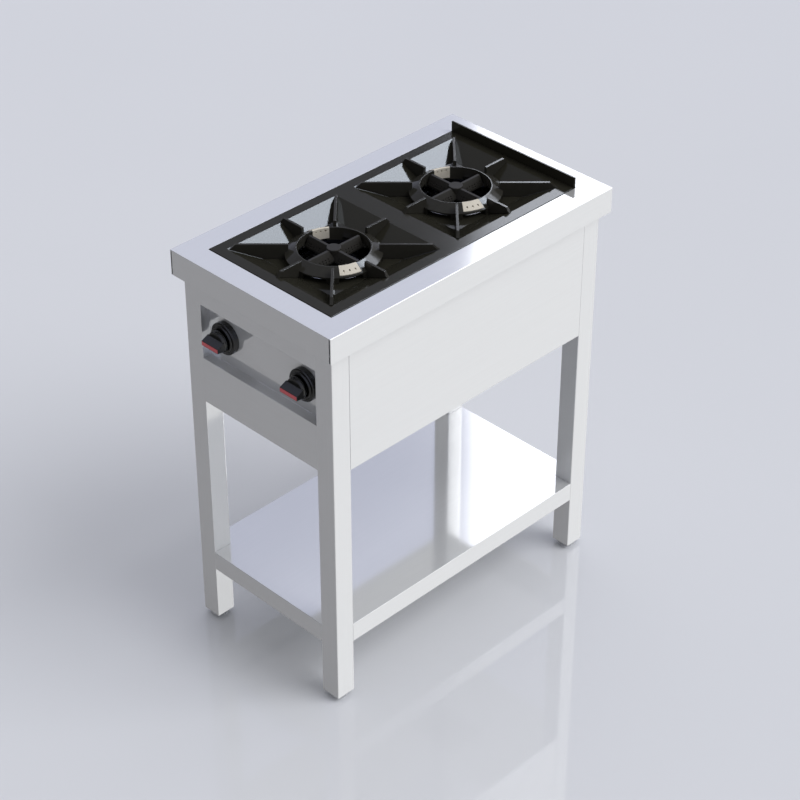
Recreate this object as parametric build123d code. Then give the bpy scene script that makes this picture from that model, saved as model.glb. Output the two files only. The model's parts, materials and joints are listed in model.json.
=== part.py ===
from build123d import *
import math
import os

# Stock pot range: two gas burners in line on an open stand.
# Millimetres. +X right, +Y to the back, +Z up. Origin on the floor, under the middle of the worktop.

# --- worktop and stand ---
WIDTH = 400.0             # worktop, left to right
DEPTH = 700.0             # worktop, front to back
HEIGHT = 810.0            # worktop surface above the floor
SKIRT = 50.0              # height of the worktop's turned-down edge
TOP_SHEET = 1.5
SKIRT_LIP = 12.0          # inward return along the bottom of the skirt
CORNER_SLIT = 3.0         # gap between the end of the front or rear skirt and the side skirt
OVERHANG = 15.0           # worktop past the frame, on every side
LEG = 40.0
LEG_WALL = 1.5
LEG_BASE_Z = 10.0
CASING_HEIGHT = 300.0     # worktop surface down to the panels' lower edge
PANEL_SHEET = 1.2
PANEL_FLANGE = 15.0
BASE_GAP = 0.3            # casing's base to the panels round it
VENT_LENGTH = 120.0       # air slots in the casing's base
VENT_WIDTH = 6.0
VENT_PITCH = 16.0
VENT_COUNT = 6            # under each burner
SEAM = 0.5                # joint line between a side panel and a leg
SHELF_Z = 165.0
SHELF_EDGE = 40.0
SHELF_LIP = 10.0
LEG_NOTCH_GAP = 0.3
STIFFENER_WIDTH = 60.0
STIFFENER_DROP = 24.0
STIFFENER_END_GAP = 4.0

# --- control recess in the front panel ---
RECESS_DROP = 95.0        # worktop surface down to the recess
RECESS_HEIGHT = 111.0
RECESS_DEEP = 20.0
KNOB_SPACING = 200.0
KNOB_DROP = 150.0         # worktop surface down to the knobs

# --- levelling feet ---
BUSH_LENGTH = 20.0
STUD_R = 5.0
STUD_LENGTH = 38.0
STUD_SEAT = 3.0           # pad thickness under the screw
SCREW_CLEARANCE = 0.08
PAD_R = 16.0
PAD_NECK_R = 9.0
PAD_EDGE = 3.0
PAD_HEIGHT = 8.0

# --- hob plate ---
BORDER = 47.5             # worktop left bare round the plate
PLATE_SHEET = 5.0
PLATE_DROP = 4.0          # seat of the plate below the worktop surface
PLATE_GAP = 0.8
PLATE_LEDGE = 12.0
WELL_BORDER = 22.5        # flat of the plate beside a well
WELL_WEB = 42.5           # flat of the plate between the two wells
WELL_DEEP = 18.0
WELL_FLOOR_MARGIN = 3.0   # well floor past the crown, on every side
THROAT_GAP = 3.0          # crown's inner wall to the edge of the throat
UPSTAND_HEIGHT = 20.0
UPSTAND_SHEET = 4.0

# --- pan supports ---
FIN_COUNT = 8
FIN_RISE = 11.0           # fin tops above the worktop surface
FIN_TOP_WIDTH = 5.0
FIN_BASE_WIDTH = 8.0
FIN_INNER_R = 78.0
FIN_ROOT = 2.0            # fin's root inside the crown's outer wall
FIN_ROOT_COVER = 3.0      # fin's root below the crown's cone
SHORT_FIN_SEAT = 3.0      # short fin's foot past the edge of the well
SHORT_FIN_RAKE = 8.0      # slope of its end, along the fin
LONG_FIN_SHORT = 4.85     # long fin's foot short of the well's corner
LONG_FIN_RAKE = 10.0
WELL_CLEARANCE = 0.4      # fin underside above the sloping well
RIM_R = 64.0
RIM_FLAT = 2.0
RIM_RISE = 5.0            # crown's rim above the plate
CROWN_R = 85.0
CONE_DROP = 11.0          # rim down to where the crown's outer wall begins
CROWN_WALL = 4.0
CROWN_COVER = 4.6         # vertical thickness of the cone
RIM_WALL_REACH = 2.0      # inner wall below the well's floor
SLOT_SPAN = 30.0          # degrees, air slot in the outer wall
SLOT_HEIGHT = 9.4
NOTCH_SPAN = 20.0         # degrees, air notch in the inner wall
NOTCH_HEIGHT = 6.0

# --- port inserts ---
INSERT_ANGLES = (-22.5, 157.5)
INSERT_SPAN = 28.0        # degrees
INSERT_R = 82.0
INSERT_PROUD = 0.8
INSERT_THICK = 2.6
INSERT_BACKING = 1.0      # crown wall left behind the insert
INSERT_BASE = 2.0         # lower edge above the well's floor
INSERT_HOLE_R = 1.4
INSERT_HOLE_DROP = 5.0    # holes below the rim
INSERT_HOLE_STEP = 8.0    # degrees

# --- burners ---
HUB_R = 13.0
HUB_DROP = 1.0            # hub's top below the crown's rim
HUB_EDGE = 1.5
HUB_BORE_R = 8.0
HUB_CHAMBER = 5.0         # hub bore's height above the arms' bores
ARM_COUNT = 4
ARM_GAP = 4.0             # arm's end to the crown's inner wall
ARM_DROP = 2.0            # ridge of an arm below the hub's top
ARM_BASE = 6.0            # underside of an arm above the mixing tube
ARM_EDGE = 3.0            # upright side below the arm's slope
ARM_RIDGE = 5.0
ARM_WIDTH = 24.0
ARM_BORE_R = 4.0
ARM_BORE_RISE = 7.0       # bore above the arm's underside
ARM_END = 5.0             # closed end of each arm
PORT_R = 1.1
PORT_ROWS = (-1.5, 2.0)   # from the arm's bore
PORT_COUNT = 6
PORT_FIRST_R = 21.0
PORT_STEP = 6.6
NECK_R = 17.0
NECK_LENGTH = 43.0        # top of the neck down to the tube's axis
TUBE_R = 15.0
TUBE_BORE_R = 11.0
TUBE_REACH = 96.0         # from the burner's axis forward to the mouth
TUBE_BELL_R = 21.0
BELL_LENGTH = 16.0
BELL_WALL = 3.0
AIR_HOLE_R = 4.0
AIR_HOLE_RING = 12.0
AIR_HOLE_COUNT = 4
SADDLE_WIDTH = 40.0
SADDLE_DROP = 19.0        # tube's axis down to the rail
SADDLE_EAR = 84.0
EAR_THICK = 5.0
BURNER_SCREW_SPACING = 64.0
SCREW_R = 3.0
SCREW_HOLE_GAP = 0.2
SCREW_HEAD_R = 5.0
SCREW_HEAD = 4.0
SCREW_LENGTH = 14.0

# --- burner rails and spill trays ---
RAIL_HEIGHT = 20.0
RAIL_WIDTH = 40.0
RAIL_SHEET = 2.0
TRAY_R = 100.0
TRAY_SHEET = 1.0
TRAY_DROP = 15.0          # top of the neck down to the tray
TRAY_HEIGHT = 12.0
TRAY_COLLAR_R = 24.0
TRAY_COLLAR = 3.0
TRAY_HOLE_GAP = 0.3

# --- air shutters and injectors ---
SHUTTER_R = 20.0
SHUTTER_SHEET = 1.5
SHUTTER_GAP = 0.1
SHUTTER_TAB = 8.0
SPIGOT_R = 5.2
RUNNING_GAP = 0.05
HOLDER_SHOULDER_R = 9.0
HOLDER_SHOULDER = 2.0
HOLDER_SIDE = 20.0
HOLDER_LENGTH = 14.0
JET_R = 4.0
JET_TIP_R = 2.0
JET_LENGTH = 6.0
JET_BORE_R = 0.6

# --- gas pipe, valves, spindles and push pins ---
PIPE_R = 10.65            # half-inch steel pipe
PIPE_BORE_R = 8.0
PIPE_DROP = 32.0          # knob axis down to the pipe's axis
PIPE_SETBACK = 27.0       # pipe's axis behind the recess face
PIPE_END = 35.0           # pipe past the outer valves
INLET_X = -60.0
INLET_THREAD_R = 10.48    # G 1/2 outside thread
INLET_REACH = 22.0
INLET_HOLE_GAP = 1.35      # rear panel's hole round the pipe
LOCKNUT_FLATS = 30.0
LOCKNUT_THICK = 6.0
VALVE_R = 13.0
VALVE_LENGTH = 36.0
VALVE_NOSE_R = 8.0
VALVE_NOSE = 5.0
SADDLE_LENGTH = 18.0      # valve's saddle and clamp, along the pipe
OUTLET_R = 7.0
OUTLET_RISE = 16.0        # outlet face above the spindle's axis
CLAMP_WALL = 2.0
CLAMP_EAR = 9.0
CLAMP_SCREW_R = 2.0
CLAMP_SCREW_HEAD_R = 3.4
CLAMP_SCREW_HEAD = 2.5
SPINDLE_R = 4.0
SPINDLE_FLAT = 1.0        # depth of the flat that drives the spindle
SPINDLE_FLAT_LENGTH = 15.0
SPINDLE_HOLE_GAP = 2.5     # front panel's hole round the spindle
SPINDLE_FRONT = 31.0      # spindle's tip in front of the recess face
SPINDLE_BACK = 25.0       # spindle's end behind the recess face
PIN_R = 1.5
PIN_CLEARANCE = 0.08
PIN_FRONT = 10.0
PIN_END_GAP = 0.5
PIN_BACK = 35.0
PUSH_TRAVEL = 3.0
PUSH_ROOM = 1.5
FEED_R = 4.0
FEED_BORE_R = 3.0
FEED_BEND_R = 18.0
FEED_LEAD = 20.0          # straight run into the injector holder
BRACKET_WIDTH = 20.0
BRACKET_FOOT = 32.0
BRACKET_X = (-124.0, 50.0)

# --- bezels and knobs ---
BEZEL_R = 31.0
BEZEL_CHAMFER = 2.0
BEZEL_EDGE = 10.0         # upright rim below the chamfer
BEZEL_STEP_R = 25.5
BEZEL_STEP = 12.0
BEZEL_STEP_EDGE = 1.0
BEZEL_FRONT_R = 23.5
BEZEL_HOLE_R = 10.0
BEZEL_DEPTH = 15.0
KNOB_GAP = 4.0            # room for the push
KNOB_R = 21.5
KNOB_EDGE = 3.0
KNOB_FRONT_R = 19.5
KNOB_BODY = 8.0
GRIP_LENGTH = 42.0
GRIP_DEPTH = 14.0
GRIP_BACK = 16.0
GRIP_FRONT = 9.0
GRIP_DROP = 3.0           # middle of the grip's front below the knob's axis
POINTER_LENGTH = 41.0
POINTER_HEIGHT = 7.6
POINTER_SUNK = 1.2
POINTER_PROUD = 0.4

OVERLAP = 2.0             # how far one feature reaches into the next before they are joined

# --- worked out from the above ---
FRAME_X = WIDTH / 2 - OVERHANG
FRAME_Y = DEPTH / 2 - OVERHANG
UNDER_TOP = HEIGHT - TOP_SHEET
PANEL_BASE_Z = HEIGHT - CASING_HEIGHT
RECESS_TOP_Z = HEIGHT - RECESS_DROP
RECESS_BASE_Z = RECESS_TOP_Z - RECESS_HEIGHT
RECESS_Y = -FRAME_Y + RECESS_DEEP
KNOB_Z = HEIGHT - KNOB_DROP
PLATE_WIDTH = WIDTH - 2 * BORDER
PLATE_DEPTH = DEPTH - 2 * BORDER
PLATE_SEAT_Z = HEIGHT - PLATE_DROP
UNDER_LEDGE = PLATE_SEAT_Z - TOP_SHEET
PLATE_TOP = PLATE_SEAT_Z + PLATE_SHEET
WELL_PITCH = PLATE_DEPTH / 2
WELL_SIDE = min(PLATE_WIDTH - 2 * WELL_BORDER, WELL_PITCH - WELL_WEB)
WELL_FLOOR_SIDE = 2 * (CROWN_R + WELL_FLOOR_MARGIN)
WELL_Z = PLATE_TOP - WELL_DEEP
UNDER_WELL = WELL_Z - PLATE_SHEET
THROAT_R = RIM_R + CROWN_WALL + THROAT_GAP
FIN_Z = HEIGHT + FIN_RISE
RIM_Z = PLATE_TOP + RIM_RISE
CROWN_Z = RIM_Z - CONE_DROP
CONE_SLOPE = CONE_DROP / (CROWN_R - RIM_R - RIM_FLAT)
NECK_TOP_Z = UNDER_WELL
HUB_TOP_Z = RIM_Z - HUB_DROP
ARM_R = RIM_R - ARM_GAP
ARM_BASE_Z = NECK_TOP_Z + ARM_BASE
ARM_BORE_Z = ARM_BASE_Z + ARM_BORE_RISE
TUBE_Z = NECK_TOP_Z - NECK_LENGTH
TRAY_Z = NECK_TOP_Z - TRAY_DROP
RAIL_TOP_Z = TUBE_Z - SADDLE_DROP
PIPE_Y = RECESS_Y + PIPE_SETBACK
PIPE_Z = KNOB_Z - PIPE_DROP
SHOULDER_Y = -TUBE_REACH - 2 * SHUTTER_GAP - SHUTTER_SHEET      # holder's seat, from the burner's axis
HOLDER_Y = SHOULDER_Y - HOLDER_SHOULDER - HOLDER_LENGTH / 2     # its side inlet
KNOB_FACE_Y = RECESS_Y - BEZEL_DEPTH - KNOB_GAP - KNOB_BODY     # front of the knob's round part
GRIP_Y = KNOB_FACE_Y - GRIP_DEPTH
GRIP_Z = KNOB_Z - GRIP_DROP
BURNERS = {"front": -WELL_PITCH / 2, "rear": WELL_PITCH / 2}
KNOBS = {"left": -KNOB_SPACING / 2, "right": KNOB_SPACING / 2}
SIDES = {"left": -1, "right": 1}
ENDS = {"front": -1, "rear": 1}


def save(name, shape):
    """Write one node's solids."""
    export_step(shape, f"parts/{name}.step")


def block(x0, x1, y0, y1, z0, z1):
    """A box between two corners, given in any order."""
    centre = ((x0 + x1) / 2, (y0 + y1) / 2, (z0 + z1) / 2)
    return Pos(*centre) * Box(abs(x1 - x0), abs(y1 - y0), abs(z1 - z0))


def upright(x, y, z0, z1, radius):
    """A cylinder along Z."""
    return Pos(x, y, (z0 + z1) / 2) * Cylinder(radius, abs(z1 - z0))


def level(x, z, y0, y1, radius):
    """A cylinder along Y."""
    return Pos(x, (y0 + y1) / 2, z) * Rot(90, 0, 0) * Cylinder(radius, abs(y1 - y0))


def across(y, z, x0, x1, radius):
    """A cylinder along X."""
    return Pos((x0 + x1) / 2, y, z) * Rot(0, 90, 0) * Cylinder(radius, abs(x1 - x0))


def outline(points):
    """A flat face round a list of corners."""
    return make_face(Polyline(*points, close=True))


def turned(points, arc=360.0):
    """A shape turned about Z from (radius, height) corners, centred on +X when it is a sector."""
    return Rot(0, 0, -arc / 2) * revolve(Plane.XZ * outline(points), Axis.Z, arc)


def turned_forward(points, x, y, z):
    """A shape turned about an axis that points to the front, from (radius, distance forward) corners."""
    return Pos(x, y, z) * Rot(90, 0, 0) * revolve(Plane.XZ * outline(points), Axis.Z, 360)


def cone_z(radius):
    """Height of the crown's cone at a radius."""
    return RIM_Z - (radius - RIM_R - RIM_FLAT) * CONE_SLOPE


# ---------------------------------------------------------------- stand

def worktop():
    half_x = WIDTH / 2
    half_y = DEPTH / 2
    base = HEIGHT - SKIRT
    body = block(-half_x, half_x, -half_y, half_y, base, HEIGHT)
    inner_x = half_x - TOP_SHEET
    inner_y = half_y - TOP_SHEET
    body -= block(-inner_x, inner_x, -inner_y, inner_y, base + TOP_SHEET, UNDER_TOP)
    lip_x = inner_x - SKIRT_LIP
    lip_y = inner_y - SKIRT_LIP
    body -= block(-lip_x, lip_x, -lip_y, lip_y, base, base + TOP_SHEET)
    for sx in (-1, 1):
        for sy in (-1, 1):
            body -= block(sx * inner_x, sx * (inner_x - CORNER_SLIT), sy * half_y, sy * inner_y,
                          base + TOP_SHEET, UNDER_TOP)
    pocket_x = PLATE_WIDTH / 2 + PLATE_GAP
    pocket_y = PLATE_DEPTH / 2 + PLATE_GAP
    body += block(-pocket_x - TOP_SHEET, pocket_x + TOP_SHEET,
                  -pocket_y - TOP_SHEET, pocket_y + TOP_SHEET, UNDER_LEDGE, HEIGHT)
    body -= block(-pocket_x, pocket_x, -pocket_y, pocket_y, PLATE_SEAT_Z, HEIGHT)
    open_x = pocket_x - PLATE_LEDGE
    open_y = pocket_y - PLATE_LEDGE
    body -= block(-open_x, open_x, -open_y, open_y, UNDER_LEDGE, PLATE_SEAT_Z)
    return body


def leg(sx, sy):
    centre = Pos(sx * (FRAME_X - LEG / 2), sy * (FRAME_Y - LEG / 2), (LEG_BASE_Z + UNDER_LEDGE) / 2)
    length = UNDER_LEDGE - LEG_BASE_Z
    hollow = LEG - 2 * LEG_WALL
    return centre * (Box(LEG, LEG, length) - Box(hollow, hollow, length))


def front_panel():
    half = FRAME_X - LEG
    face = -FRAME_Y
    back = face + PANEL_SHEET
    flange = face + PANEL_FLANGE
    panel = block(-half, half, face, back, RECESS_TOP_Z, UNDER_TOP)
    panel += block(-half, half, face, back, PANEL_BASE_Z, RECESS_BASE_Z)
    panel += block(-half, half, face, flange, UNDER_TOP - PANEL_SHEET, UNDER_TOP)
    panel += block(-half, half, face, flange, PANEL_BASE_Z, PANEL_BASE_Z + PANEL_SHEET)
    recess_back = RECESS_Y + PANEL_SHEET
    panel += block(-half, half, face, recess_back, RECESS_TOP_Z, RECESS_TOP_Z + PANEL_SHEET)
    panel += block(-half, half, face, recess_back, RECESS_BASE_Z - PANEL_SHEET, RECESS_BASE_Z)
    panel += block(-half, half, RECESS_Y, recess_back, RECESS_BASE_Z - PANEL_SHEET,
                   RECESS_TOP_Z + PANEL_SHEET)
    for x in KNOBS.values():
        panel -= level(x, KNOB_Z, RECESS_Y, recess_back, SPINDLE_R + SPINDLE_HOLE_GAP)
    return panel


def side_panel(sx):
    half = FRAME_Y - LEG - SEAM
    outer = sx * FRAME_X
    inner = sx * (FRAME_X - PANEL_SHEET)
    flange = sx * (FRAME_X - PANEL_FLANGE)
    panel = block(outer, inner, -half, half, PANEL_BASE_Z, UNDER_TOP)
    panel += block(outer, flange, -half, half, PANEL_BASE_Z, PANEL_BASE_Z + PANEL_SHEET)
    panel += block(outer, flange, -half, half, UNDER_TOP - PANEL_SHEET, UNDER_TOP)
    return panel


def rear_panel():
    half = FRAME_X - LEG
    inner = FRAME_Y - PANEL_SHEET
    flange = FRAME_Y - PANEL_FLANGE
    panel = block(-half, half, inner, FRAME_Y, PANEL_BASE_Z, UNDER_TOP)
    panel += block(-half, half, flange, FRAME_Y, PANEL_BASE_Z, PANEL_BASE_Z + PANEL_SHEET)
    panel += block(-half, half, flange, FRAME_Y, UNDER_TOP - PANEL_SHEET, UNDER_TOP)
    panel -= level(INLET_X, PIPE_Z, inner, FRAME_Y, PIPE_R + INLET_HOLE_GAP)
    return panel


def casing_base():
    """The sheet that closes the casing from below, on the panels' flanges and round the legs."""
    seat = PANEL_BASE_Z + PANEL_SHEET
    top = seat + PANEL_SHEET
    half_x = FRAME_X - PANEL_SHEET - BASE_GAP
    half_y = FRAME_Y - PANEL_SHEET - BASE_GAP
    between_x = FRAME_X - LEG - LEG_NOTCH_GAP
    between_y = FRAME_Y - LEG - LEG_NOTCH_GAP
    sheet = block(-half_x, half_x, -between_y, between_y, seat, top)
    sheet += block(-between_x, between_x, -half_y, half_y, seat, top)
    half_slot = VENT_WIDTH / 2
    for y in BURNERS.values():
        for number in range(VENT_COUNT):
            at = y + (number - (VENT_COUNT - 1) / 2) * VENT_PITCH
            sheet -= block(-VENT_LENGTH / 2, VENT_LENGTH / 2, at - half_slot, at + half_slot, seat, top)
    return sheet


def bottom_shelf():
    base = SHELF_Z - SHELF_EDGE
    between_x = FRAME_X - LEG
    between_y = FRAME_Y - LEG
    shelf = block(-FRAME_X, FRAME_X, -FRAME_Y, FRAME_Y, base, SHELF_Z)
    inner_x = FRAME_X - PANEL_SHEET
    inner_y = FRAME_Y - PANEL_SHEET
    shelf -= block(-inner_x, inner_x, -inner_y, inner_y, base + PANEL_SHEET, SHELF_Z - PANEL_SHEET)
    lip_x = inner_x - SHELF_LIP
    lip_y = inner_y - SHELF_LIP
    shelf -= block(-lip_x, lip_x, -lip_y, lip_y, base, base + PANEL_SHEET)
    for sx in (-1, 1):
        for sy in (-1, 1):
            shelf -= block(sx * (between_x - LEG_NOTCH_GAP), sx * FRAME_X,
                           sy * (between_y - LEG_NOTCH_GAP), sy * FRAME_Y, base, SHELF_Z)
    return shelf


def shelf_stiffener():
    top = SHELF_Z - PANEL_SHEET
    half_x = STIFFENER_WIDTH / 2
    half_y = FRAME_Y - PANEL_SHEET - SHELF_LIP - STIFFENER_END_GAP
    hat = block(-half_x, half_x, -half_y, half_y, top - STIFFENER_DROP, top)
    hollow_x = half_x - PANEL_SHEET
    hat -= block(-hollow_x, hollow_x, -half_y, half_y, top - STIFFENER_DROP, top - PANEL_SHEET)
    return hat


# ---------------------------------------------------------------- levelling feet

def foot_bush(sx, sy):
    side = LEG - 2 * LEG_WALL
    x = sx * (FRAME_X - LEG / 2)
    y = sy * (FRAME_Y - LEG / 2)
    top = LEG_BASE_Z + BUSH_LENGTH
    bush = block(x - side / 2, x + side / 2, y - side / 2, y + side / 2, LEG_BASE_Z, top)
    return bush - upright(x, y, LEG_BASE_Z, top, STUD_R + SCREW_CLEARANCE)


def foot_pad(sx, sy):
    socket = STUD_R + SCREW_CLEARANCE
    profile = [(0, 0), (PAD_R, 0), (PAD_R, PAD_EDGE), (PAD_NECK_R, PAD_HEIGHT), (socket, PAD_HEIGHT),
               (socket, STUD_SEAT), (0, STUD_SEAT)]
    return Pos(sx * (FRAME_X - LEG / 2), sy * (FRAME_Y - LEG / 2), 0) * turned(profile)


def foot_screw(sx, sy):
    base = STUD_SEAT + RUNNING_GAP
    x = sx * (FRAME_X - LEG / 2)
    y = sy * (FRAME_Y - LEG / 2)
    return upright(x, y, base, base + STUD_LENGTH, STUD_R)


# ---------------------------------------------------------------- hob plate

def well_body(top_z, floor_z):
    """A square well that narrows downwards."""
    mouth = Pos(0, 0, top_z) * Rectangle(WELL_SIDE, WELL_SIDE)
    floor = Pos(0, 0, floor_z) * Rectangle(WELL_FLOOR_SIDE, WELL_FLOOR_SIDE)
    return loft([mouth.face(), floor.face()], ruled=True)


def hob_plate():
    half_x = PLATE_WIDTH / 2
    half_y = PLATE_DEPTH / 2
    plate = block(-half_x, half_x, -half_y, half_y, PLATE_SEAT_Z, PLATE_TOP)
    for y in BURNERS.values():
        plate += Pos(0, y, 0) * well_body(PLATE_SEAT_Z, UNDER_WELL)
        plate -= Pos(0, y, 0) * well_body(PLATE_TOP, WELL_Z)
        plate -= upright(0, y, UNDER_WELL, WELL_Z, THROAT_R)
    return plate


def rear_upstand():
    half = PLATE_WIDTH / 2
    back = PLATE_DEPTH / 2
    return block(-half, half, back - UPSTAND_SHEET, back, PLATE_TOP, PLATE_TOP + UPSTAND_HEIGHT)


# ---------------------------------------------------------------- pan supports

def fin(foot_r, rake, wall_foot_r, rise, rests):
    """One fin along +X. Its underside follows the well's wall, and a fin that rests has a flat seat."""
    floor = WELL_Z + WELL_CLEARANCE
    if rests:
        knee_r = wall_foot_r + (PLATE_TOP - floor) / rise
        under = [(foot_r, PLATE_TOP), (knee_r, PLATE_TOP)]
    else:
        under = [(foot_r, floor + (foot_r - wall_foot_r) * rise)]
    root = CROWN_R - FIN_ROOT
    cover = cone_z(root) - FIN_ROOT_COVER
    profile = [(FIN_INNER_R, FIN_Z), (foot_r - rake, FIN_Z)] + under
    profile += [(wall_foot_r, floor), (root, floor), (root, cover),
                (FIN_INNER_R, cone_z(FIN_INNER_R) - FIN_ROOT_COVER)]
    slab = extrude(Plane.XZ * outline(profile), amount=FIN_BASE_WIDTH / 2, both=True)
    wide = FIN_BASE_WIDTH / 2
    narrow = FIN_TOP_WIDTH / 2
    draft = outline([(-wide, WELL_Z), (wide, WELL_Z), (narrow, FIN_Z), (-narrow, FIN_Z)])
    return slab & extrude(Plane.YZ * draft, amount=foot_r + OVERLAP)


def short_fin():
    """A fin square to the sides of the well."""
    rise = WELL_DEEP / ((WELL_SIDE - WELL_FLOOR_SIDE) / 2)
    return fin(WELL_SIDE / 2 + SHORT_FIN_SEAT, SHORT_FIN_RAKE, WELL_FLOOR_SIDE / 2, rise, True)


def long_fin():
    """A fin towards a corner of the well, where both walls meet under its edges."""
    corner = math.sqrt(2)
    rise = WELL_DEEP / ((WELL_SIDE - WELL_FLOOR_SIDE) / 2 * corner)
    wall_foot_r = WELL_FLOOR_SIDE / 2 * corner - FIN_BASE_WIDTH / 2
    return fin(WELL_SIDE / 2 * corner - LONG_FIN_SHORT, LONG_FIN_RAKE, wall_foot_r, rise, False)


def insert_profile():
    """Corners of the port insert, round the crown's rim, in (radius, height)."""
    inner = RIM_R - INSERT_PROUD
    edge = RIM_R + RIM_FLAT
    web_r = RIM_R + CROWN_WALL - INSERT_BACKING
    base = WELL_Z + INSERT_BASE
    return [(inner, RIM_Z), (edge, RIM_Z + INSERT_PROUD), (INSERT_R, cone_z(INSERT_R) + INSERT_PROUD),
            (INSERT_R, cone_z(INSERT_R) - INSERT_THICK), (web_r, cone_z(web_r) - INSERT_THICK),
            (web_r, base), (inner, base)]


def crown_ring():
    wall_r = RIM_R + CROWN_WALL
    skirt_r = CROWN_R - CROWN_WALL
    wall_base = WELL_Z - RIM_WALL_REACH
    ring = turned([(RIM_R, RIM_Z), (RIM_R + RIM_FLAT, RIM_Z), (CROWN_R, CROWN_Z), (CROWN_R, WELL_Z),
                   (skirt_r, WELL_Z), (skirt_r, cone_z(skirt_r) - CROWN_COVER),
                   (wall_r, cone_z(wall_r) - CROWN_COVER), (wall_r, wall_base), (RIM_R, wall_base)])
    slot = sector_cut(skirt_r, CROWN_R, WELL_Z, SLOT_HEIGHT, SLOT_SPAN)
    notch = sector_cut(RIM_R, wall_r, wall_base, NOTCH_HEIGHT, NOTCH_SPAN)
    step = 360 / FIN_COUNT
    for number in range(FIN_COUNT):
        turn = Rot(0, 0, (number + 0.5) * step)
        ring -= turn * slot
        ring -= turn * notch
    return ring


def sector_cut(inner_r, outer_r, base, height, span):
    """The block that opens a ring's wall from its lower edge, over a span of degrees."""
    low_r = inner_r - OVERLAP / 2
    high_r = outer_r + OVERLAP / 2
    return turned([(low_r, base), (high_r, base), (high_r, base + height), (low_r, base + height)], span)


def pan_support():
    support = crown_ring()
    fins = (short_fin(), long_fin())
    for number in range(FIN_COUNT):
        support += Rot(0, 0, number * 360 / FIN_COUNT) * fins[number % 2]
    pocket = turned(insert_profile(), INSERT_SPAN)
    for angle in INSERT_ANGLES:
        support -= Rot(0, 0, angle) * pocket
    return support


def port_inserts():
    piece = turned(insert_profile(), INSERT_SPAN)
    hole = across(0, RIM_Z - INSERT_HOLE_DROP, RIM_R - OVERLAP, CROWN_R, INSERT_HOLE_R)
    for number in (-1, 0, 1):
        piece -= Rot(0, 0, number * INSERT_HOLE_STEP) * hole
    return Compound([Rot(0, 0, angle) * piece for angle in INSERT_ANGLES])


# ---------------------------------------------------------------- burners

def burner_cross():
    wide = ARM_WIDTH / 2
    ridge = ARM_RIDGE / 2
    top = HUB_TOP_Z - ARM_DROP
    shoulder = ARM_BASE_Z + ARM_EDGE
    section = outline([(-wide, ARM_BASE_Z), (wide, ARM_BASE_Z), (wide, shoulder),
                       (ridge, top), (-ridge, top), (-wide, shoulder)])
    arm = extrude(Plane.YZ * section, amount=ARM_R)
    cross = upright(0, 0, NECK_TOP_Z, HUB_TOP_Z, HUB_R)
    cross = fillet(cross.edges().group_by(Axis.Z)[-1], HUB_EDGE)
    bores = [upright(0, 0, NECK_TOP_Z, ARM_BORE_Z + HUB_CHAMBER, HUB_BORE_R)]
    for number in range(ARM_COUNT):
        turn = Rot(0, 0, number * 360 / ARM_COUNT)
        cross += turn * arm
        bores.append(turn * across(0, ARM_BORE_Z, 0, ARM_R - ARM_END, ARM_BORE_R))
        for index in range(PORT_COUNT):
            for row in PORT_ROWS:
                at = PORT_FIRST_R + index * PORT_STEP
                bores.append(turn * level(at, ARM_BORE_Z + row, -ARM_WIDTH, ARM_WIDTH, PORT_R))
    for bore in bores:
        cross -= bore
    return cross


def mixing_tube():
    mouth = -TUBE_REACH
    bell_end = mouth + BELL_LENGTH
    body = upright(0, 0, TUBE_Z, NECK_TOP_Z, NECK_R)
    body += upright(0, 0, TRAY_Z - TRAY_COLLAR, TRAY_Z, TRAY_COLLAR_R)
    body += level(0, TUBE_Z, mouth, NECK_R, TUBE_R)
    body += level(0, TUBE_Z, mouth, bell_end, TUBE_BELL_R)
    half = SADDLE_WIDTH / 2
    body += block(-TUBE_R, TUBE_R, -half, half, RAIL_TOP_Z, TUBE_Z)
    body += block(-SADDLE_EAR / 2, SADDLE_EAR / 2, -half / 2, half / 2, RAIL_TOP_Z, RAIL_TOP_Z + EAR_THICK)
    body -= upright(0, 0, TUBE_Z, NECK_TOP_Z, TUBE_BORE_R)
    body -= level(0, TUBE_Z, mouth + BELL_WALL, TUBE_BORE_R, TUBE_BORE_R)
    body -= level(0, TUBE_Z, mouth + BELL_WALL, bell_end - BELL_WALL, TUBE_BELL_R - BELL_WALL)
    body -= level(0, TUBE_Z, mouth, mouth + BELL_WALL, SPIGOT_R + RUNNING_GAP)
    for x in (-BURNER_SCREW_SPACING / 2, BURNER_SCREW_SPACING / 2):
        body -= upright(x, 0, RAIL_TOP_Z, RAIL_TOP_Z + EAR_THICK, SCREW_R + SCREW_HOLE_GAP)
    return body - air_holes(mouth, mouth + BELL_WALL)


def air_holes(y0, y1):
    """The round air holes in the mouth, between two stations along the tube."""
    holes = []
    for number in range(AIR_HOLE_COUNT):
        angle = 2 * math.pi * (number + 0.5) / AIR_HOLE_COUNT
        x = AIR_HOLE_RING * math.cos(angle)
        z = TUBE_Z + AIR_HOLE_RING * math.sin(angle)
        holes.append(level(x, z, y0, y1, AIR_HOLE_R))
    return Compound(holes)


def air_shutter():
    back = -TUBE_REACH - SHUTTER_GAP
    front = back - SHUTTER_SHEET
    disc = level(0, TUBE_Z, front, back, SHUTTER_R)
    disc += block(-SHUTTER_TAB / 2, SHUTTER_TAB / 2, front, back,
                  TUBE_Z - SHUTTER_R - SHUTTER_TAB, TUBE_Z - SHUTTER_R + OVERLAP)
    disc -= level(0, TUBE_Z, front, back, SPIGOT_R + RUNNING_GAP)
    return disc - air_holes(front, back)


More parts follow.
